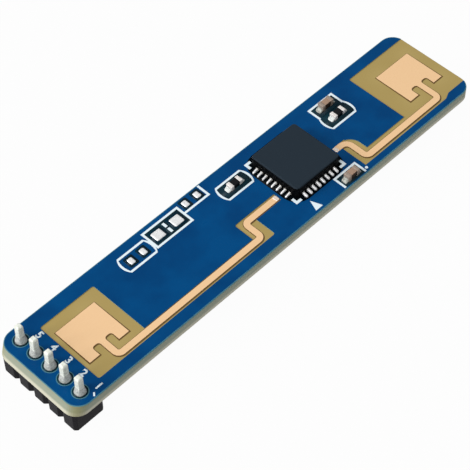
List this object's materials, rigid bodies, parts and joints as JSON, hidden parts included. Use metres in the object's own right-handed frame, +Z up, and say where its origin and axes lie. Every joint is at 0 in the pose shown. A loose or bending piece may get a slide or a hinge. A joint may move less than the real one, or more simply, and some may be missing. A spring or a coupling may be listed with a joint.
{
  "type": "microwave radar sensor module",
  "caption": "Narrow blue circuit board with patch antennas at both ends, a square radar chip between them and a pin header under one end.",
  "frame": {"origin": "middle of the pin row, on the lower face of the header's insulator", "axes": "+X along the board from the header to the far end, +Y across it, +Z up out of the component side"},
  "size_m": [0.0352, 0.007, 0.0045],
  "materials": {
    "laminate": "glass-fibre laminate, cut edge",
    "lacquer": "blue solder mask, smooth and slightly glossy",
    "copper": "bare gold-flashed copper, satin",
    "solder": "smooth tin solder",
    "print": "white legend ink",
    "mould": "black moulding compound, fine matt grain",
    "lead_frame": "tin-plated copper alloy",
    "silicon": "silicon die, hidden inside the moulding",
    "capacitor": "fired ceramic, tan and matt",
    "resistor": "black glaze over white ceramic",
    "insulator": "black moulded nylon",
    "pin": "tin-plated square brass wire"
  },
  "bodies": {
    "root": {"laminate": "laminate", "ground_plane": "copper", "lower_lacquer": "lacquer", "upper_lacquer": "lacquer", "near_antenna": "copper", "far_antenna": "copper", "part_lands": "copper", "empty_pad_tin": "solder", "printed_marks": "print", "chip_lands": "copper", "chip_solder": "solder", "chip_contacts": "lead_frame", "chip_ground_pad": "lead_frame", "chip_die": "silicon", "chip_body": "mould", "header_strip": "insulator", "header_pin_1": "pin", "plated_hole_1": "copper", "pin_joint_1": "solder", "header_pin_2": "pin", "plated_hole_2": "copper", "pin_joint_2": "solder", "header_pin_3": "pin", "plated_hole_3": "copper", "pin_joint_3": "solder", "header_pin_4": "pin", "plated_hole_4": "copper", "pin_joint_4": "solder", "header_pin_5": "pin", "plated_hole_5": "copper", "pin_joint_5": "solder", "left_resistor_body": "resistor", "left_resistor_caps": "solder", "left_resistor_solder": "solder", "pair_resistor_body": "resistor", "pair_resistor_caps": "solder", "pair_resistor_solder": "solder", "pair_capacitor_body": "capacitor", "pair_capacitor_caps": "solder", "pair_capacitor_solder": "solder", "edge_capacitor_body": "capacitor", "edge_capacitor_caps": "solder", "edge_capacitor_solder": "solder"}
  },
  "joints": []
}
